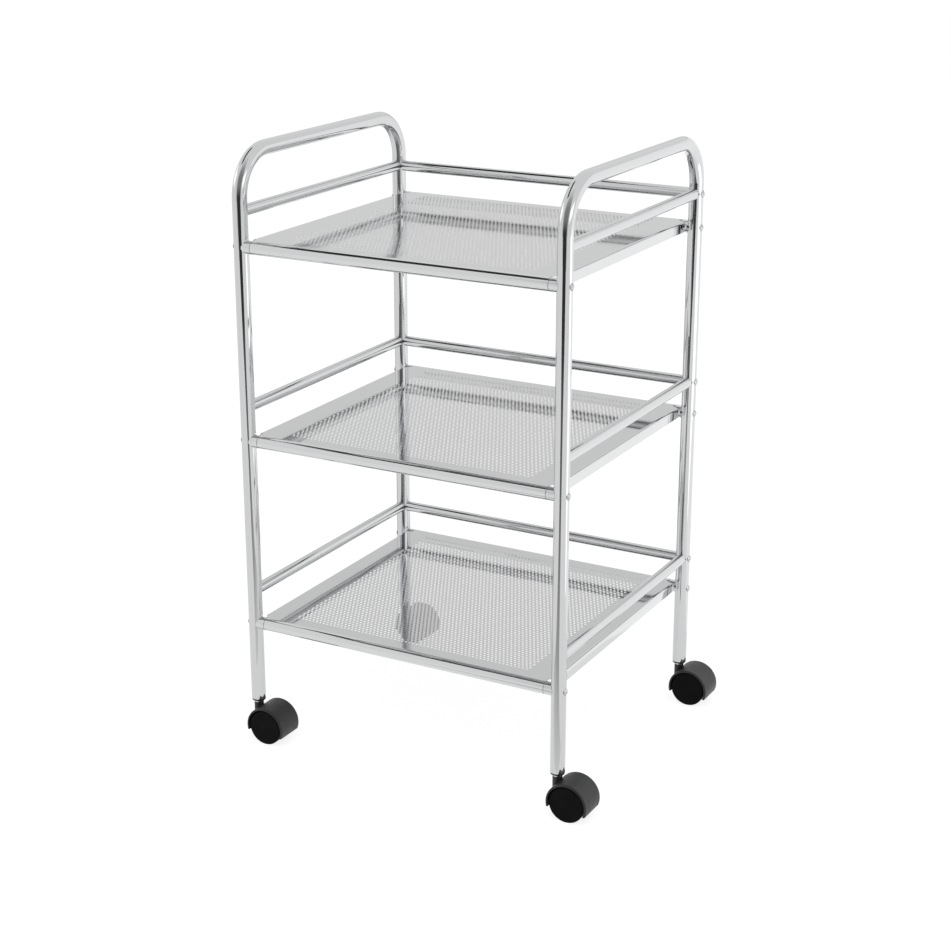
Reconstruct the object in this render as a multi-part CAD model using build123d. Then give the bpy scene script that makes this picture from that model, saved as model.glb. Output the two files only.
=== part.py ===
"""Three-tier rolling utility cart in chromed steel, on four hooded twin-wheel castors.

Two bent tube hoops are the legs and the push handles. Side rails are welded into each hoop.
Three folded sheet trays and three back rails are screwed between the hoops and hold them apart.
Millimetres, +Z up, +X to the right and +Y to the rear. The floor is at Z = 0.
"""
import os
from math import atan2, cos, sin

from build123d import *

# Hoops
leg_spacing_x = 376.0
leg_spacing_y = 322.0
tube_od = 16.0
tube_wall = 1.0
hoop_bend_radius = 48.0
handle_rise = 60.0

# Rails
rail_od = 12.0
rail_wall = 0.8
bottom_rail_rise = 129.0
tier_pitch = 212.0
tier_names = ("bottom", "middle", "top")

# Trays
tray_drop = 37.0
sheet = 0.6
roll_od = 14.0
roll_seam = 1.6
skirt_height = 11.5
skirt_bend_radius = 3.0
corner_gap = 3.0

# End plugs, inserts and screws
plug_collar = 6.5
plug_spigot = 14.0
insert_length = 18.0
screw_od = 4.0
screw_head_od = 8.0
screw_head_height = 2.2
screw_reach = 26.0
spot_face_depth = 0.5

# Castors
wheel_od = 40.0
wheel_width = 10.2
wheel_rim = 3.2
wheel_face = 1.8
wheel_edge_radius = 1.4
axle_od = 5.0
hub_wall = 2.5
axle_cover = 1.3
castor_trail = 18.0
hood_wall = 2.2
hood_edge_radius = 1.6
hood_lip = 1.0
hood_skirt = 7.25
hood_cut_tilt = 4.3
stem_od = 8.0
stem_drop = 4.0
stem_collar_lip = 2.0
stem_collar = 1.8
stem_chamfer = 0.8
stem_grip_length = 24.0
neck_wall = 1.3
neck_rise = 0.7
socket_flange = 2.0
socket_flange_inset = 0.4
socket_length = 27.0

# Clearances
seat_gap = 0.1
bore_gap = 0.05
swivel_gap = 0.3
wheel_side_gap = 0.4
wheel_tread_gap = 1.3
web_margin = 0.7

# Places worked out from the sizes above
leg_x = leg_spacing_x / 2
leg_y = leg_spacing_y / 2
tube_radius = tube_od / 2
rail_radius = rail_od / 2
roll_radius = roll_od / 2
seat_radius = tube_radius + seat_gap
head_seat_x = leg_x + tube_radius - spot_face_depth
roll_half_length = leg_x - tube_radius - plug_collar
skirt_x = leg_x - tube_radius
skirt_half_length = leg_y - roll_radius - corner_gap
neck_od = stem_od + 2 * neck_wall
web_thickness = neck_od + 2 * web_margin
wheel_radius = wheel_od / 2
hood_radius = wheel_radius + wheel_tread_gap + hood_wall
wheel_inner_y = web_thickness / 2 + wheel_side_gap
wheel_outer_y = wheel_inner_y + wheel_width
hood_half_width = wheel_outer_y + hood_lip
axle_half_length = wheel_outer_y - axle_cover - wheel_side_gap
stem_end_height = wheel_radius - stem_drop
collar_bottom = wheel_radius + hood_radius + neck_rise
socket_bottom = collar_bottom + stem_collar
leg_foot_height = socket_bottom + socket_flange
rail_heights = [leg_foot_height + bottom_rail_rise + tier * tier_pitch for tier in range(len(tier_names))]
tray_heights = [height - tray_drop for height in rail_heights]
handle_height = rail_heights[-1] + handle_rise
reach_left = head_seat_x + screw_head_height
reach_right = leg_x + castor_trail + hood_radius
frame_shift = Pos((reach_left - reach_right) / 2, 0, 0)

SIDES = {"left": -1, "right": 1}
ENDS = {"front": -1, "rear": 1}


def rod(radius, start, end):
    """A straight round bar from one point to another."""
    axis = Vector(*end) - Vector(*start)
    return extrude(Plane(start, z_dir=axis) * Circle(radius), axis.length)


def bolt_line(side, reach, radius, y, z):
    """A bar along X through a leg, from outside the leg to a depth inside it."""
    return rod(radius, (side * (leg_x + tube_od), y, z), (side * (leg_x - reach), y, z))


def leg_seats():
    """Round bars a seat gap larger than the four legs, which cope whatever butts against a leg."""
    seats = []
    for side in SIDES.values():
        for end in ENDS.values():
            foot = (side * leg_x, end * leg_y, 0)
            seats.append(rod(seat_radius, foot, (side * leg_x, end * leg_y, handle_height)))
    return seats


def screw_places():
    """Height and leg end of every screw: trays at all four legs, back rails at the rear legs."""
    trays = [(end, height) for end in ENDS.values() for height in tray_heights]
    rails = [(ENDS["rear"], height) for height in rail_heights]
    return trays, rails


def hoop(side):
    """One bent tube: front leg, handle bar and rear leg, drilled and flattened for the screws."""
    x = side * leg_x
    corners = [
        (x, -leg_y, leg_foot_height),
        (x, -leg_y, handle_height),
        (x, leg_y, handle_height),
        (x, leg_y, leg_foot_height),
    ]
    path = FilletPolyline(*corners, radius=hoop_bend_radius)
    ring = Circle(tube_radius) - Circle(tube_radius - tube_wall)
    tube = sweep(Plane(path @ 0, z_dir=path % 0) * ring, path)
    trays, rails = screw_places()
    for end, height in trays + rails:
        y = end * leg_y
        tube -= bolt_line(side, tube_od, screw_od / 2 + bore_gap, y, height)
        flat_start = (side * head_seat_x, y, height)
        tube -= rod(screw_head_od / 2 + seat_gap, flat_start, (side * (leg_x + tube_od), y, height))
    return tube


def side_rail(side, height):
    """A tube welded between the two legs of one hoop, its ends coped to the legs."""
    start = (side * leg_x, -leg_y, height)
    end = (side * leg_x, leg_y, height)
    tube = rod(rail_radius, start, end) - rod(rail_radius - rail_wall, start, end)
    for seat in leg_seats():
        tube -= seat
    return tube


def back_rail(height):
    """A cross tube between the rear legs, coped to the legs and clear of the side rails."""
    start = (-leg_x, leg_y, height)
    end = (leg_x, leg_y, height)
    tube = rod(rail_radius, start, end) - rod(rail_radius - rail_wall, start, end)
    for seat in leg_seats():
        tube -= seat
    for side in SIDES.values():
        tube -= rod(rail_radius + seat_gap, (side * leg_x, -leg_y, height), (side * leg_x, leg_y, height))
    return tube


def back_rail_inserts():
    """Threaded inserts in the ends of the back rails, which the rear screws bite into."""
    inserts = []
    radius = rail_radius - rail_wall - bore_gap
    for height in rail_heights:
        for side in SIDES.values():
            inner = (side * (leg_x - tube_radius - insert_length), leg_y, height)
            insert = rod(radius, inner, (side * leg_x, leg_y, height))
            insert -= bolt_line(side, leg_spacing_x / 2, screw_od / 2 + bore_gap, leg_y, height)
            for seat in leg_seats():
                insert -= seat
            for end_side in SIDES.values():
                rail_start = (end_side * leg_x, -leg_y, height)
                rail_end = (end_side * leg_x, leg_y, height)
                insert -= rod(rail_radius + seat_gap, rail_start, rail_end)
            inserts.append(insert)
    return inserts


def tray_channel():
    """The flat sheet between the rolls with both side edges turned down into skirts."""
    low = roll_radius - skirt_height
    outer = Pos(0, (roll_radius + low) / 2) * Rectangle(2 * skirt_x, skirt_height)
    outer = fillet(outer.vertices().group_by(Axis.Y)[-1], skirt_bend_radius)
    inner_height = skirt_height - sheet
    inner = Pos(0, low + inner_height / 2) * Rectangle(2 * (skirt_x - sheet), inner_height)
    inner = fillet(inner.vertices().group_by(Axis.Y)[-1], skirt_bend_radius - sheet)
    section = Plane.XZ * (outer - inner)
    return extrude(section, skirt_half_length, both=True)


def rolled_edge(end):
    """A front or rear edge rolled into an open tube, with the seam under the sheet."""
    start = (-roll_half_length, end * leg_y, 0)
    stop = (roll_half_length, end * leg_y, 0)
    tube = rod(roll_radius, start, stop) - rod(roll_radius - sheet, start, stop)
    seam_y = end * (leg_y - roll_radius)
    seam_z = roll_radius - sheet - roll_seam / 2
    return tube - Pos(0, seam_y, seam_z) * Box(2 * roll_half_length, roll_od, roll_seam)


def tray():
    """One folded sheet: a flat floor with rolled edges front and rear and skirts at the sides."""
    flat = Box(2 * roll_half_length, leg_spacing_y, sheet)
    body = tray_channel() + Pos(0, 0, roll_radius - sheet / 2) * flat
    for end in ENDS.values():
        body += rolled_edge(end)
    return body


def end_plug(side, end, height):
    """A plug in the end of a rolled edge: spigot inside the roll, collar with a saddle on the leg."""
    y = end * leg_y
    collar_start = side * (roll_half_length + bore_gap)
    spigot_start = side * (roll_half_length - plug_spigot)
    plug = rod(roll_radius, (collar_start, y, height), (side * leg_x, y, height))
    plug += rod(roll_radius - sheet - bore_gap, (spigot_start, y, height), (side * leg_x, y, height))
    plug -= bolt_line(side, leg_spacing_x / 2, screw_od / 2 + bore_gap, y, height)
    for seat in leg_seats():
        plug -= seat
    return plug


def dome_middle(half, crown):
    """The point half way along the arc from the rim of a dome to its crown."""
    radius = (half ** 2 + crown ** 2) / (2 * crown)
    lean = atan2(half, radius - crown) / 2
    return (radius * sin(lean), crown - radius + radius * cos(lean))


def screw_form():
    """A dome-head screw standing on its seat, with the shank below."""
    half = screw_head_od / 2
    dome_edge = ThreePointArc((half, 0), dome_middle(half, screw_head_height), (0, screw_head_height))
    profile = make_face([dome_edge, Line((0, screw_head_height), (0, 0)), Line((0, 0), (half, 0))])
    head = revolve(Plane.XZ * profile, Axis.Z)
    return head + rod(screw_od / 2, (0, 0, 0), (0, 0, -tube_od - screw_reach))


def screw(side, end, height):
    """A screw through a leg, its head seated in the flat on the leg's outer face."""
    seat = Plane((side * head_seat_x, end * leg_y, height), z_dir=(side, 0, 0))
    return seat * screw_form()


def leg_socket():
    """A plastic sleeve pressed into the foot of a leg, with a flange under the tube's end."""
    sleeve_radius = tube_radius - tube_wall - bore_gap
    flange = rod(tube_radius - socket_flange_inset, (0, 0, socket_bottom), (0, 0, leg_foot_height))
    sleeve = rod(sleeve_radius, (0, 0, leg_foot_height), (0, 0, leg_foot_height + socket_length))
    bore = rod(stem_od / 2 + bore_gap, (0, 0, 0), (0, 0, handle_height))
    return flange + sleeve - bore


def castor_stem():
    """A steel stem: grip end up in the socket, collar under it, swivel pin down in the hood."""
    top = leg_foot_height + stem_grip_length
    pin = rod(stem_od / 2, (0, 0, stem_end_height), (0, 0, top))
    rims = pin.edges().group_by(Axis.Z)
    pin = chamfer(rims[0] + rims[-1], stem_chamfer)
    return pin + rod(stem_od / 2 + stem_collar_lip, (0, 0, collar_bottom), (0, 0, socket_bottom))


def across(radius, start_y, end_y):
    """A round bar on the axle's line."""
    return rod(radius, (castor_trail, start_y, wheel_radius), (castor_trail, end_y, wheel_radius))


def castor_hood():
    """The moulded hood: a shroud over both wheels, a web between them and the swivel neck."""
    inner_radius = hood_radius - hood_wall
    shroud = across(hood_radius, -hood_half_width, hood_half_width)
    shroud = fillet(shroud.edges().filter_by(GeomType.CIRCLE), hood_edge_radius)
    shroud -= across(inner_radius, -hood_half_width, hood_half_width)
    web = across(inner_radius + seat_gap, -web_thickness / 2, web_thickness / 2)
    cut_size = 2 * hood_radius
    under = Pos(0, 0, -hood_skirt - hood_radius) * Box(2 * cut_size, 2 * cut_size, cut_size)
    below = Pos(castor_trail, 0, wheel_radius) * Rot(0, hood_cut_tilt, 0) * under
    neck_top = collar_bottom - swivel_gap
    neck = rod(neck_od / 2, (0, 0, wheel_radius), (0, 0, neck_top))
    body = shroud + web + neck - below
    stem_hole = rod(stem_od / 2 + bore_gap, (0, 0, stem_end_height - swivel_gap), (0, 0, handle_height))
    axle_hole = across(axle_od / 2 + bore_gap / 2, -hood_half_width, hood_half_width)
    return body - stem_hole - axle_hole


def castor_axle():
    """A plain steel pin through the hood's web, carrying a wheel on each end."""
    return across(axle_od / 2, -axle_half_length, axle_half_length)


def castor_wheel(face):
    """A moulded wheel, closed outside and hollow towards the web, with a blind hub on the axle."""
    inner = face * wheel_inner_y
    outer = face * wheel_outer_y
    face_back = face * (wheel_outer_y - wheel_face)
    wheel = across(wheel_radius, inner, outer)
    rims = wheel.edges().filter_by(GeomType.CIRCLE).sort_by(Axis.Y)
    outer_rim = rims[-1] if face > 0 else rims[0]
    wheel = fillet(outer_rim, wheel_edge_radius)
    hollow = across(wheel_radius - wheel_rim, inner, face_back) - across(axle_od / 2 + hub_wall, inner, face_back)
    bore_end = face * (wheel_outer_y - axle_cover)
    return wheel - hollow - across(axle_od / 2 + bore_gap, inner, bore_end)


def save(node, *solids):
    """Write one node, moved so that the origin is under the middle of the whole cart."""
    placed = [frame_shift * solid for solid in solids]
    shape = placed[0] if len(placed) == 1 else Compound(children=placed)
    export_step(shape, f"parts/{node}.step")


os.makedirs("parts", exist_ok=True)

for side_name, side in SIDES.items():
    save(f"{side_name}_hoop", hoop(side))
    for tier, height in zip(tier_names, rail_heights):
        save(f"{side_name}_{tier}_side_rail", side_rail(side, height))

for tier, height in zip(tier_names, rail_heights):
    save(f"{tier}_back_rail", back_rail(height))
save("back_rail_inserts", *back_rail_inserts())

tray_form = tray()
for tier, height in zip(tier_names, tray_heights):
    save(f"{tier}_tray", Pos(0, 0, height) * tray_form)
    plugs = [end_plug(side, end, height) for side in SIDES.values() for end in ENDS.values()]
    save(f"{tier}_tray_plugs", *plugs)

tray_places, rail_places = screw_places()
save("tray_screws", *[screw(side, *place) for side in SIDES.values() for place in tray_places])
save("back_rail_screws", *[screw(side, *place) for side in SIDES.values() for place in rail_places])

castor_forms = {
    "leg_socket": leg_socket(),
    "castor_stem": castor_stem(),
    "castor_hood": castor_hood(),
    "castor_axle": castor_axle(),
    "castor_front_wheel": castor_wheel(ENDS["front"]),
    "castor_rear_wheel": castor_wheel(ENDS["rear"]),
}
for end_name, end in ENDS.items():
    for side_name, side in SIDES.items():
        for piece, form in castor_forms.items():
            save(f"{end_name}_{side_name}_{piece}", Pos(side * leg_x, end * leg_y, 0) * form)
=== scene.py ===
"""Three-tier rolling utility cart in chromed steel, on four hooded twin-wheel castors.

The sections follow the cart as it is put together: hoops, rails, trays, plugs, screws, castors.
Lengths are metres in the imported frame, with the cart's front towards -Y.
"""
from math import ceil, cos, pi, radians, sin, sqrt

import bpy
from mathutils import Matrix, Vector


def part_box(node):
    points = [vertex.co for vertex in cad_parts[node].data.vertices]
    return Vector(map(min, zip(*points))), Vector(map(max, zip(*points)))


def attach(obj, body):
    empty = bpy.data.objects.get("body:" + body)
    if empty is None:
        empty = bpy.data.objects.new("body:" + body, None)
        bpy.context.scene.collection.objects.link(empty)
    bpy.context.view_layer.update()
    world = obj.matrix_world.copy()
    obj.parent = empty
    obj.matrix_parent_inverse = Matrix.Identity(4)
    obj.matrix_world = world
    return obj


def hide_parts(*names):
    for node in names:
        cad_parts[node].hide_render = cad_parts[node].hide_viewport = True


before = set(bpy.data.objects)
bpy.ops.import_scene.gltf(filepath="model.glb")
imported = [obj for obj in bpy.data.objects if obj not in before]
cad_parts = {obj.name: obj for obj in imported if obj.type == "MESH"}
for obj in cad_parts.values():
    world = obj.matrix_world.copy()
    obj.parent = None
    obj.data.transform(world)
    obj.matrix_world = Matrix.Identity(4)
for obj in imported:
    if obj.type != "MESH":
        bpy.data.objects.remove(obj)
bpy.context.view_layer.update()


# Hoops
# Two steel tubes, each bent into a front leg, a push handle and a rear leg, and bright chrome plated.
# The plating shows faint haze and the slight waviness of drawn and bent tube.
# The tubes' colour is a little darker than the trays': painted shade for the darker surroundings that they
# mirror.
tube_colour_with_painted_shade = (0.57, 0.575, 0.58)
pattern_low = 0.3
pattern_high = 0.7


def new_finish(name, colour, metallic, roughness):
    """A material whose shader holds what is the same all over the piece."""
    finish = bpy.data.materials.new(name)
    finish.use_nodes = True
    shader = finish.node_tree.nodes["Principled BSDF"]
    shader.inputs["Base Color"].default_value = (*colour, 1)
    shader.inputs["Metallic"].default_value = metallic
    shader.inputs["Roughness"].default_value = roughness
    return finish, shader


def mottle(finish, scale, detail):
    """A cloudy pattern on the piece's own coordinates."""
    tree = finish.node_tree
    place = tree.nodes.new("ShaderNodeTexCoord")
    noise = tree.nodes.new("ShaderNodeTexNoise")
    noise.inputs["Scale"].default_value = scale
    noise.inputs["Detail"].default_value = detail
    tree.links.new(place.outputs["Object"], noise.inputs["Vector"])
    return noise.outputs["Fac"]


def vary_roughness(finish, shader, pattern, low, high):
    """Let the gloss follow a pattern between two roughnesses."""
    tree = finish.node_tree
    span = tree.nodes.new("ShaderNodeMapRange")
    span.inputs["From Min"].default_value = pattern_low
    span.inputs["From Max"].default_value = pattern_high
    span.inputs["To Min"].default_value = low
    span.inputs["To Max"].default_value = high
    tree.links.new(pattern, span.inputs["Value"])
    tree.links.new(span.outputs["Result"], shader.inputs["Roughness"])


def raise_surface(finish, shader, pattern, height):
    """Give the surface a relief of this height where the pattern rises."""
    tree = finish.node_tree
    bump = tree.nodes.new("ShaderNodeBump")
    bump.inputs["Strength"].default_value = 1
    bump.inputs["Distance"].default_value = height
    tree.links.new(pattern, bump.inputs["Height"])
    tree.links.new(bump.outputs["Normal"], shader.inputs["Normal"])


def finish_nodes(names, finish):
    """Put a finish on nodes of the frame."""
    for name in names:
        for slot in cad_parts[name].material_slots:
            slot.material = finish


tube_chrome, tube_shader = new_finish("tube_chrome", tube_colour_with_painted_shade, metallic=1, roughness=0.06)
tube_haze = mottle(tube_chrome, scale=60, detail=3)
vary_roughness(tube_chrome, tube_shader, tube_haze, low=0.035, high=0.085)
tube_waves = mottle(tube_chrome, scale=45, detail=2)
raise_surface(tube_chrome, tube_shader, tube_waves, height=0.00006)
finish_nodes(["left_hoop", "right_hoop"], tube_chrome)


# Side and back rails
# Thinner plated tubes: side rails welded into each hoop, back rails screwed between the rear legs.
# The steel inserts in the ends of the back rails are zinc plated and hidden.
tiers = ["bottom", "middle", "top"]
rail_nodes = [f"{side}_{tier}_side_rail" for side in ("left", "right") for tier in tiers]
rail_nodes += [f"{tier}_back_rail" for tier in tiers]
finish_nodes(rail_nodes, tube_chrome)

zinc_colour = (0.6, 0.6, 0.58)
zinc_steel, zinc_shader = new_finish("zinc_steel", zinc_colour, metallic=1, roughness=0.35)
zinc_spangle = mottle(zinc_steel, scale=400, detail=2)
vary_roughness(zinc_steel, zinc_shader, zinc_spangle, low=0.28, high=0.45)
finish_nodes(["back_rail_inserts"], zinc_steel)


# Tray pans
# The flat floor of each tray: chromed sheet steel, punched with staggered rows of small holes inside
# a plain margin and notched at the corners for the plugs. One is modelled and then copied to each tier.
tray_low, tray_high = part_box("bottom_tray")
roll_radius = (tray_high.z - tray_low.z) / 2
tray_x = (tray_low.x + tray_high.x) / 2
skirt_x = (tray_high.x - tray_low.x) / 2
roll_y = tray_high.y - roll_radius
hole_wall = 0.0003
sharp_fold = radians(32)
hole_pitch = 0.00457
row_pitch = 0.0044
same_point = hole_pitch / 100
hole_web = 0.00116
field_x = 0.146
field_y = 0.144
skirt_bend = 0.003
edge_strip = 0.0015
plug_collar = 0.0065
pan_corner_gap = 0.0026
pan_x = skirt_x - skirt_bend - edge_strip
pan_y = roll_y - edge_strip
notch_x = skirt_x - plug_collar
pan_notch_y = roll_y - pan_corner_gap


def start_mesh(name):
    """Name the primitive that was just added."""
    piece = bpy.context.object
    piece.name = name
    piece.data.name = name
    return piece


def pick_faces(piece, rule):
    """Select the faces whose centres fit a rule, with the piece left in edit mode."""
    bpy.ops.object.mode_set(mode="EDIT")
    bpy.ops.mesh.select_mode(type="FACE")
    bpy.ops.mesh.select_all(action="DESELECT")
    bpy.ops.object.mode_set(mode="OBJECT")
    for face in piece.data.polygons:
        face.select = rule(face.center)
    bpy.ops.object.mode_set(mode="EDIT")


def repeat(piece, count, offset):
    """Copy the piece in a row, with touching points merged."""
    row = piece.modifiers.new("row", "ARRAY")
    row.count = count
    row.use_relative_offset = False
    row.use_constant_offset = True
    row.constant_offset_displace = offset
    row.use_merge_vertices = True
    row.merge_threshold = same_point
    bpy.ops.object.modifier_apply(modifier=row.name)


def cut_pan(piece, rule, point, normal, clear):
    """Cut the picked faces along a plane, and take away what lies beyond it if it is to be clear."""
    pick_faces(piece, rule)
    bpy.ops.mesh.bisect(plane_co=point, plane_no=normal, clear_outer=clear)
    bpy.ops.object.mode_set(mode="OBJECT")


def in_field(centre):
    """Whether a cell lies in the punched field."""
    return abs(centre.x) < field_x and abs(centre.y) < field_y


def thicken(piece, thickness):
    """Give a sheet its thickness below its upper face, with its cut edges in the second finish."""
    piece.data.materials.append(tray_chrome)
    piece.data.materials.append(punched_steel)
    wall = piece.modifiers.new("wall", "SOLIDIFY")
    wall.thickness = thickness
    wall.offset = -1
    wall.material_offset_rim = 1
    bpy.ops.object.modifier_apply(modifier=wall.name)
    bpy.ops.object.shade_smooth_by_angle(angle=sharp_fold)


tray_chrome_colour = (0.61, 0.616, 0.62)
tray_chrome, tray_shader = new_finish("tray_chrome", tray_chrome_colour, metallic=1, roughness=0.06)
tray_haze = mottle(tray_chrome, scale=35, detail=4)
vary_roughness(tray_chrome, tray_shader, tray_haze, low=0.035, high=0.09)
tray_waves = mottle(tray_chrome, scale=14, detail=2)
raise_surface(tray_chrome, tray_shader, tray_waves, height=0.00012)
punched_colour = (0.66, 0.665, 0.67)
punched_steel, punched_shader = new_finish("punched_steel", punched_colour, metallic=1, roughness=0.45)
shear_marks = mottle(punched_steel, scale=900, detail=2)
vary_roughness(punched_steel, punched_shader, shear_marks, low=0.38, high=0.55)

bpy.ops.object.select_all(action="DESELECT")
bpy.ops.mesh.primitive_circle_add(vertices=6, radius=hole_pitch / sqrt(3), fill_type="NGON")
pan = start_mesh("tray_pan_model")
columns = 2 * ceil(pan_x / hole_pitch) + 2
row_pairs = ceil(pan_y / row_pitch) + 1
bpy.ops.object.mode_set(mode="EDIT")
bpy.ops.transform.resize(value=(1, row_pitch / (hole_pitch * sqrt(3) / 2), 1))
bpy.ops.object.mode_set(mode="OBJECT")
repeat(pan, columns, (hole_pitch, 0, 0))
bpy.ops.object.mode_set(mode="EDIT")
bpy.ops.mesh.select_all(action="SELECT")
bpy.ops.mesh.duplicate()
bpy.ops.transform.translate(value=(hole_pitch / 2, row_pitch, 0))
bpy.ops.mesh.select_all(action="SELECT")
bpy.ops.mesh.remove_doubles(threshold=same_point)
bpy.ops.object.mode_set(mode="OBJECT")
repeat(pan, row_pairs, (0, 2 * row_pitch, 0))
bpy.ops.object.mode_set(mode="EDIT")
bpy.ops.mesh.select_all(action="SELECT")
bpy.ops.mesh.remove_doubles(threshold=same_point)
middle_column = hole_pitch * (columns - 1) / 2
middle_row = row_pitch * (2 * row_pairs - 1) / 2
bpy.ops.transform.translate(value=(-middle_column, -middle_row, 0))
bpy.ops.object.mode_set(mode="OBJECT")

for side in (-1, 1):
    cut_pan(pan, lambda centre: True, (side * pan_x, 0, 0), (side, 0, 0), clear=True)
    cut_pan(pan, lambda centre: True, (0, side * pan_y, 0), (0, side, 0), clear=True)
for end in (-1, 1):
    cut_pan(pan, lambda centre: abs(centre.x) > field_x, (0, end * pan_notch_y, 0), (0, end, 0), clear=False)
for side in (-1, 1):
    cut_pan(pan, lambda centre: abs(centre.y) > pan_notch_y, (side * notch_x, 0, 0), (side, 0, 0), clear=True)

pick_faces(pan, in_field)
bpy.ops.mesh.inset(thickness=hole_web, use_individual=True)
bpy.ops.mesh.delete(type="FACE")
bpy.ops.object.mode_set(mode="OBJECT")

thicken(pan, hole_wall)


def place_copies(model, part):
    """Set a copy of a tray model at each tier, on the cart's frame, in place of the plain tray."""
    for tier in tiers:
        copy = model.copy()
        copy.data = model.data.copy()
        copy.name = f"{tier}_tray_{part}"
        copy.data.name = copy.name
        bpy.context.collection.objects.link(copy)
        bpy.ops.object.select_all(action="DESELECT")
        copy.select_set(True)
        bpy.context.view_layer.objects.active = copy
        copy.location = (tray_x, 0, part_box(f"{tier}_tray")[1].z)
        bpy.ops.object.transform_apply(location=True, rotation=True, scale=True)
        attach(copy, "cart_frame")
        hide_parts(f"{tier}_tray")
    bpy.data.objects.remove(model)


place_copies(pan, "pan")


# Tray edges
# Front and rear edges of the same sheet are rolled into open tubes, with the seam tucked underneath,
# and end just short of the plugs' collars. The side edges are turned down into skirts clear of the legs.
sheet = 0.0006
collar_seam = 0.0006
roll_half_length = notch_x - collar_seam
roll_turn = radians(342)
roll_steps = 40
skirt_gap = 0.003
skirt_end_y = roll_y - roll_radius - skirt_gap
skirt_height = 0.0115
skirt_bend_steps = 8
edge_slack = sheet / 10
mirror_slack = sheet / 100


def pick_edges(piece, rule):
    """Select the edges whose two ends fit a rule, with the piece left in edit mode."""
    bpy.ops.object.mode_set(mode="EDIT")
    bpy.ops.mesh.select_mode(type="EDGE")
    bpy.ops.mesh.select_all(action="DESELECT")
    bpy.ops.object.mode_set(mode="OBJECT")
    points = piece.data.vertices
    for edge in piece.data.edges:
        edge.select = all(rule(points[end].co) for end in edge.vertices)
    bpy.ops.object.mode_set(mode="EDIT")


bpy.ops.object.select_all(action="DESELECT")
bpy.ops.mesh.primitive_plane_add(size=1)
edges = start_mesh("tray_edge_model")
bpy.ops.object.mode_set(mode="EDIT")
bpy.ops.transform.resize(value=(roll_half_length, roll_y - pan_y, 1))
bpy.ops.transform.translate(value=(roll_half_length / 2, -(roll_y + pan_y) / 2, 0))
pick_edges(edges, lambda point: point.y < -roll_y + edge_slack)
roll_centre = (0, -roll_y, -roll_radius)
bpy.ops.mesh.spin(steps=roll_steps, angle=-roll_turn, center=roll_centre, axis=(1, 0, 0))
bpy.ops.mesh.select_all(action="DESELECT")
bpy.ops.mesh.primitive_plane_add(size=1)
bpy.ops.transform.resize(value=(skirt_x - skirt_bend - pan_x, skirt_end_y, 1))
bpy.ops.transform.translate(value=((skirt_x - skirt_bend + pan_x) / 2, -skirt_end_y / 2, 0))
pick_edges(edges, lambda point: point.x > skirt_x - skirt_bend - edge_slack)
bend_centre = (skirt_x - skirt_bend, 0, -skirt_bend)
bpy.ops.mesh.spin(steps=skirt_bend_steps, angle=-pi / 2, center=bend_centre, axis=(0, 1, 0))
bpy.ops.mesh.extrude_region_move(TRANSFORM_OT_translate={"value": (0, 0, skirt_bend - skirt_height)})
bpy.ops.mesh.select_all(action="SELECT")
bpy.ops.mesh.normals_make_consistent(inside=False)
bpy.ops.object.mode_set(mode="OBJECT")
halves = edges.modifiers.new("halves", "MIRROR")
halves.use_axis = (True, True, False)
halves.merge_threshold = mirror_slack
bpy.ops.object.modifier_apply(modifier=halves.name)
thicken(edges, sheet)
place_copies(edges, "edges")


# Tray plugs
# Moulded plugs in the ends of the rolled edges, each with a saddle that bears on its leg.
# They are chrome plated like the tubes, with a little more haze.
plug_colour = (0.6, 0.605, 0.61)
plug_chrome, plug_shader = new_finish("plug_chrome", plug_colour, metallic=1, roughness=0.1)
plug_haze = mottle(plug_chrome, scale=120, detail=3)
vary_roughness(plug_chrome, plug_shader, plug_haze, low=0.06, high=0.16)
finish_nodes([f"{tier}_tray_plugs" for tier in tiers], plug_chrome)


# Screws
# Dome-head screws through the legs into the plugs and the back rails, chrome plated.
# Fine turning marks dull the heads slightly. Their colour is darker than the other chrome: painted shade for
# the dark gap round each head.
screw_colour_with_painted_shade = (0.45, 0.45, 0.45)
screw_chrome, screw_shader = new_finish("screw_chrome", screw_colour_with_painted_shade, metallic=1, roughness=0.1)
turning_marks = mottle(screw_chrome, scale=500, detail=2)
vary_roughness(screw_chrome, screw_shader, turning_marks, low=0.07, high=0.16)
finish_nodes(["tray_screws", "back_rail_screws"], screw_chrome)


# Leg sockets, castor stems and axles
# Black plastic sleeves pressed into the feet of the legs, and the plated steel stems that they grip.
# A thin collar of each stem shows under the socket's flange. The wheels' axles are of the same steel.
corners = [f"{end}_{side}" for end in ("front", "rear") for side in ("left", "right")]
socket_colour = (0.01, 0.01, 0.0105)
socket_plastic, socket_shader = new_finish("socket_plastic", socket_colour, metallic=0, roughness=0.45)
socket_shader.inputs["Specular IOR Level"].default_value = 0.3
socket_grain = mottle(socket_plastic, scale=300, detail=3)
vary_roughness(socket_plastic, socket_shader, socket_grain, low=0.36, high=0.52)
finish_nodes([f"{corner}_leg_socket" for corner in corners], socket_plastic)

stem_colour = (0.62, 0.62, 0.6)
stem_steel, stem_shader = new_finish("stem_steel", stem_colour, metallic=1, roughness=0.22)
stem_marks = mottle(stem_steel, scale=300, detail=2)
vary_roughness(stem_steel, stem_shader, stem_marks, low=0.16, high=0.3)
stem_nodes = [f"{corner}_castor_{piece}" for corner in corners for piece in ("stem", "axle")]
finish_nodes(stem_nodes, stem_steel)


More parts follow.
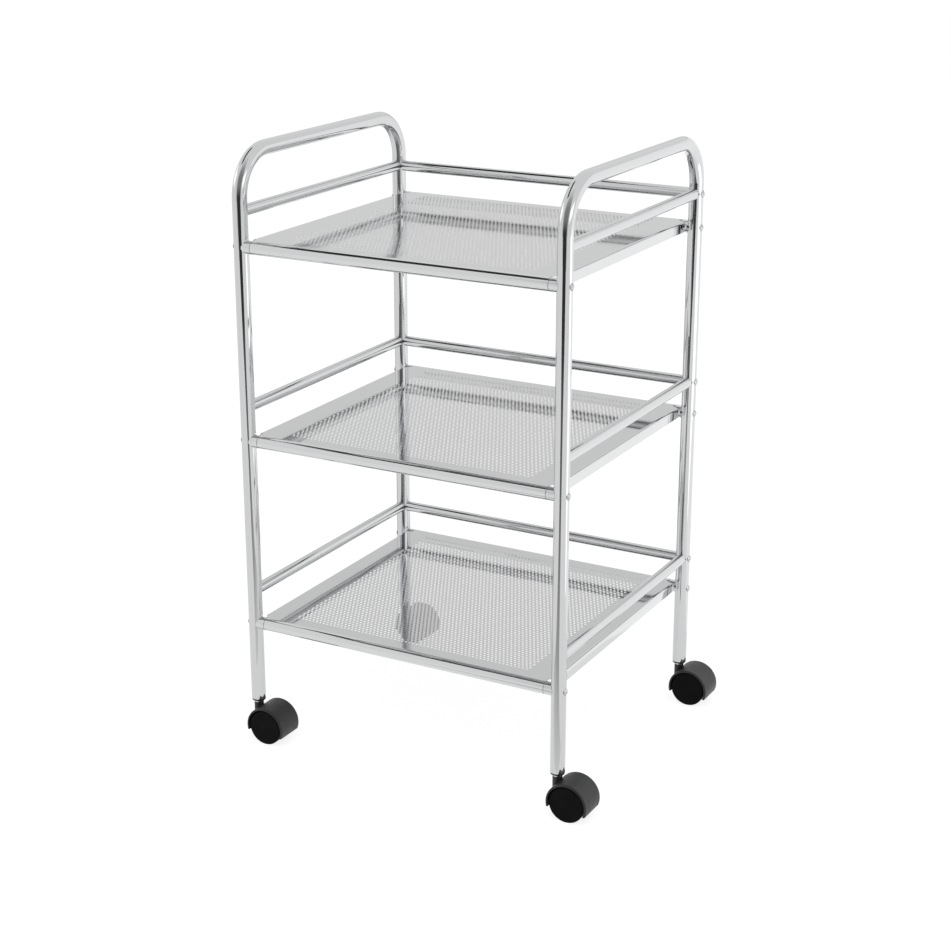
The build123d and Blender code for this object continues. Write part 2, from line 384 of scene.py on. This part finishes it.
# Castor hoods
# Moulded black nylon hoods, each a shroud over two wheels with a web and a swivel neck.
# The mould leaves a fine spark texture that spreads the light into a soft grey sheen.
hood_colour = (0.022, 0.022, 0.023)
hood_plastic, hood_shader = new_finish("hood_plastic", hood_colour, metallic=0, roughness=0.42)
hood_shader.inputs["Specular IOR Level"].default_value = 0.35
hood_sheen = mottle(hood_plastic, scale=90, detail=4)
vary_roughness(hood_plastic, hood_shader, hood_sheen, low=0.36, high=0.5)
spark_texture = mottle(hood_plastic, scale=1400, detail=2)
raise_surface(hood_plastic, hood_shader, spark_texture, height=0.00004)
finish_nodes([f"{corner}_castor_hood" for corner in corners], hood_plastic)


# Castor wheels
# Twin moulded wheels in hard black plastic, flat faced, with a rounded tread edge.
# They are matte and almost black, clouded a little by the handling and rolling.
wheel_colour = (0.004, 0.004, 0.0042)
wheel_black = (0.003, 0.003, 0.0032)
wheel_scuff = (0.006, 0.006, 0.006)


def vary_colour(finish, shader, pattern, dark, light):
    """Let the colour follow a pattern between two shades."""
    tree = finish.node_tree
    ramp = tree.nodes.new("ShaderNodeValToRGB")
    ramp.color_ramp.elements[0].position = pattern_low
    ramp.color_ramp.elements[0].color = (*dark, 1)
    ramp.color_ramp.elements[1].position = pattern_high
    ramp.color_ramp.elements[1].color = (*light, 1)
    tree.links.new(pattern, ramp.inputs["Fac"])
    tree.links.new(ramp.outputs["Color"], shader.inputs["Base Color"])


wheel_plastic, wheel_shader = new_finish("wheel_plastic", wheel_colour, metallic=0, roughness=0.5)
wheel_shader.inputs["Specular IOR Level"].default_value = 0.06
wheel_grain = mottle(wheel_plastic, scale=150, detail=4)
vary_roughness(wheel_plastic, wheel_shader, wheel_grain, low=0.42, high=0.58)
scuffs = mottle(wheel_plastic, scale=80, detail=3)
vary_colour(wheel_plastic, wheel_shader, scuffs, dark=wheel_black, light=wheel_scuff)
wheel_nodes = [f"{corner}_castor_{end}_wheel" for corner in corners for end in ("front", "rear")]
finish_nodes(wheel_nodes, wheel_plastic)


# Floor and world
# A white studio sweep: seen by the eye and in the metal it is plain white, and it keeps a soft shadow.
# What falls on the cart from it is kept lower, so that colours show about as they are written.
floor_size = 12
floor_glow = 0.84
floor_white = (0.3, 0.3, 0.3)
world_light = 0.6


def seen_directly(tree):
    """One for what the eye, metal or glass sees, and nothing for light that falls on a surface."""
    path = tree.nodes.new("ShaderNodeLightPath")
    eye_or_metal = tree.nodes.new("ShaderNodeMath")
    eye_or_metal.operation = "MAXIMUM"
    any_of_three = tree.nodes.new("ShaderNodeMath")
    any_of_three.operation = "MAXIMUM"
    tree.links.new(path.outputs["Is Camera Ray"], eye_or_metal.inputs[0])
    tree.links.new(path.outputs["Is Glossy Ray"], eye_or_metal.inputs[1])
    tree.links.new(eye_or_metal.outputs["Value"], any_of_three.inputs[0])
    tree.links.new(path.outputs["Is Transmission Ray"], any_of_three.inputs[1])
    return any_of_three.outputs["Value"]


bpy.ops.mesh.primitive_plane_add(size=floor_size)
floor = start_mesh("studio_floor")
floor_finish, floor_shader = new_finish("floor_finish", floor_white, metallic=0, roughness=1)
floor_shader.inputs["Specular IOR Level"].default_value = 0
floor_shader.inputs["Emission Color"].default_value = (1, 1, 1, 1)
floor_tree = floor_finish.node_tree
glow = floor_tree.nodes.new("ShaderNodeMath")
glow.operation = "MULTIPLY"
glow.inputs[1].default_value = floor_glow
floor_tree.links.new(seen_directly(floor_tree), glow.inputs[0])
floor_tree.links.new(glow.outputs["Value"], floor_shader.inputs["Emission Strength"])
floor.data.materials.append(floor_finish)

studio = bpy.data.worlds.new("studio")
studio.use_nodes = True
bpy.context.scene.world = studio
sky = studio.node_tree.nodes["Background"]
sky.inputs["Color"].default_value = (1, 1, 1, 1)
level = studio.node_tree.nodes.new("ShaderNodeMapRange")
level.inputs["To Min"].default_value = world_light
level.inputs["To Max"].default_value = 1
studio.node_tree.links.new(seen_directly(studio.node_tree), level.inputs["Value"])
studio.node_tree.links.new(level.outputs["Result"], sky.inputs["Strength"])


# Lamps and reflection cards
# A large soft lamp overhead lights the cart, and one at the right draws the bright line on the legs.
# Cards that only reflections see stand for the rest of the studio, because chrome shows what is around it.
cart_middle = (0, 0, 0.33)
card_columns = 4
card_side = 0.4
floor_clearance = 0.003


def facing(place, aim, upward="Y"):
    """The turn that points a lamp or a card from one place at another."""
    return (Vector(aim) - Vector(place)).to_track_quat("-Z", upward).to_euler()


def from_middle(azimuth, reach, height):
    """A place this far from the cart's middle, with the azimuth counted from the front to the right."""
    return Vector((reach * sin(azimuth), -reach * cos(azimuth), height))


def soft_lamp(name, place, aim, width, height, power):
    """A square-cornered area lamp that the eye doesn't see directly."""
    lamp = bpy.data.lights.new(name, "AREA")
    lamp.shape = "RECTANGLE"
    lamp.size = width
    lamp.size_y = height
    lamp.energy = power
    holder = bpy.data.objects.new(name, lamp)
    bpy.context.collection.objects.link(holder)
    holder.location = place
    holder.rotation_euler = facing(place, aim)
    holder.visible_camera = False
    return holder


def reflection_card(name, place, turn, length, rows, peak=1, side_shade=None):
    """A card that only reflections see.

    Each row is a part of the card's length, with the width and the shade that the card has there.
    A side shade makes the outer quarters fade from the row's shade to that one.
    """
    bpy.ops.object.select_all(action="DESELECT")
    last_row = len(rows) - 1
    bpy.ops.mesh.primitive_grid_add(x_subdivisions=card_columns, y_subdivisions=last_row, size=1)
    card = start_mesh(name)
    shades = card.data.color_attributes.new("shade", "FLOAT_COLOR", "POINT")
    for point, paint in zip(card.data.vertices, shades.data):
        part, width, shade = rows[round((point.co.y + 0.5) * last_row)]
        if side_shade is not None and abs(point.co.x) > card_side:
            shade = side_shade
        point.co.x *= width
        point.co.y = (part - 0.5) * length
        paint.color = (shade, shade, shade, 1)
    card.rotation_euler = turn
    card.location = place
    card.visible_camera = False
    card.visible_diffuse = False
    card.visible_shadow = False
    finish, shader = new_finish(name, (0, 0, 0), metallic=0, roughness=1)
    shader.inputs["Specular IOR Level"].default_value = 0
    shader.inputs["Emission Strength"].default_value = peak
    painted = finish.node_tree.nodes.new("ShaderNodeVertexColor")
    painted.layer_name = shades.name
    finish.node_tree.links.new(painted.outputs["Color"], shader.inputs["Emission Color"])
    card.data.materials.append(finish)


overhead_place = (0.5, -1.4, 2.2)
overhead_lamp = soft_lamp("overhead_lamp", overhead_place, cart_middle, width=1.6, height=1.2, power=16)
overhead_lamp.visible_glossy = False
right_lamp_place = (0.75, 0.13, 0.26)
right_lamp_aim = (0, 0.13, 0.26)
soft_lamp("right_lamp", right_lamp_place, right_lamp_aim, width=0.45, height=0.5, power=0.45)

# A dark floor in front gives the legs their dark streak, which is broader and darker higher up.
front_azimuth = radians(16)
front_near = 0.3
front_far = 2.6
front_length = front_far - front_near
front_place = from_middle(front_azimuth, (front_near + front_far) / 2, floor_clearance)
front_rows = [
    (0, 2.0, 0.04),
    (0.24, 1.45, 0.05),
    (0.43, 0.75, 0.14),
    (0.65, 0.4, 0.22),
    (0.87, 0.35, 0.5),
    (1, 0.5, 0.9),
]
reflection_card("front_card", front_place, (0, 0, front_azimuth), front_length, front_rows)

# A wall that leans in from its far end carries the streak on into the bends of the hoops.
# Higher up it is paler, because the trays mirror it when they are seen from behind.
wall_length = 4.2
wall_lean = radians(30)
wall_reach = front_far - wall_length / 2 * sin(wall_lean)
wall_place = from_middle(front_azimuth, wall_reach, wall_length / 2 * cos(wall_lean))
wall_turn = (pi / 2 - wall_lean, 0, front_azimuth)
wall_rows = [
    (0, 3.4, 0.04),
    (0.15, 3.4, 0.05),
    (0.24, 3.2, 0.16),
    (0.34, 3.2, 0.28),
    (0.5, 3.2, 0.32),
    (0.62, 2.8, 0.45),
    (0.75, 2.4, 0.72),
    (1, 2.0, 1),
]
reflection_card("front_wall", wall_place, wall_turn, wall_length, wall_rows, side_shade=1)

# A grey floor at the rear gives the legs a streak when they are seen from behind.
backdrop_azimuth = radians(209)
rear_near = 0.5
rear_far = 3.0
rear_length = rear_far - rear_near
rear_place = from_middle(backdrop_azimuth, (rear_near + rear_far) / 2, floor_clearance)
rear_turn = (0, 0, backdrop_azimuth)
rear_rows = [(0, 4.4, 0.3), (0.5, 2.8, 0.3), (1, 1.2, 0.4)]
reflection_card("rear_card", rear_place, rear_turn, rear_length, rear_rows, side_shade=0.9)

# A pale backdrop opposite the camera makes the trays light grey.
backdrop_height = 1.8
backdrop_reach = 2.4
backdrop_place = from_middle(backdrop_azimuth, backdrop_reach, backdrop_height / 2)
backdrop_turn = (pi / 2, 0, backdrop_azimuth)
backdrop_rows = [(0, 3.2, 0.8), (0.75, 3.2, 0.82), (1, 3.2, 1)]
reflection_card("rear_backdrop", backdrop_place, backdrop_turn, backdrop_height, backdrop_rows)

# A dark card high on the left draws the dark line along the back rails and the rolled edges.
left_length = 0.75
left_place = from_middle(radians(-85), reach=1.41, height=3.0)
left_rows = [(0, 2.0, 0.04), (1, 2.0, 0.04)]
reflection_card("left_card", left_place, facing(left_place, cart_middle), left_length, left_rows)

# A bright panel on either side lifts the hoops beside their dark streak.
panel_length = 0.9
panel_rows = [(0, 1.4, 0.7), (0.3, 1.4, 1), (1, 1.4, 1)]
for name, azimuth in (("left_panel", radians(-75)), ("right_panel", radians(75))):
    panel_place = from_middle(azimuth, reach=2.3, height=1.3)
    reflection_card(name, panel_place, (pi / 2, 0, azimuth), panel_length, panel_rows, peak=1.9)

# A bright ramp at the rear right lights up the handles, the side rails and the skirts of the trays.
ramp_azimuth = radians(148)
ramp_tilt = radians(40)
ramp_slant = 1.9
ramp_width = 2.4
ramp_foot = 0.42
ramp_foot_height = 0.004
ramp_reach = ramp_foot + ramp_slant / 2 * cos(ramp_tilt)
ramp_height = ramp_foot_height + ramp_slant / 2 * sin(ramp_tilt)
ramp_place = from_middle(ramp_azimuth, ramp_reach, ramp_height)
ramp_aim = ramp_place + from_middle(ramp_azimuth, -sin(ramp_tilt), cos(ramp_tilt))
ramp_turn = facing(ramp_place, ramp_aim, "X")
ramp_rows = [(0, ramp_slant, 0.76), (0.5, ramp_slant, 0.95), (1, ramp_slant, 1)]
reflection_card("rear_ramp", ramp_place, ramp_turn, ramp_width, ramp_rows, peak=1.32)


# Camera
# The photograph's viewing angle, with the whole cart in a square frame.
# The lens isn't shifted, so that the other views keep the cart in the frame too.
camera_azimuth = radians(28.7)
camera_elevation = radians(18.73)
camera_distance = 2.16
camera_target = Vector((-0.0134, 0, 0.2947))
sensor_width_mm = 36
lens_mm = 73.5
eye = bpy.data.objects.new("camera", bpy.data.cameras.new("camera"))
bpy.context.collection.objects.link(eye)
eye.data.sensor_width = sensor_width_mm
eye.data.lens = lens_mm
outward = from_middle(camera_azimuth, cos(camera_elevation), sin(camera_elevation))
eye.location = camera_target + camera_distance * outward
eye.rotation_euler = (-outward).to_track_quat("-Z", "Y").to_euler()
bpy.context.scene.camera = eye
bpy.context.scene.view_settings.view_transform = "Standard"
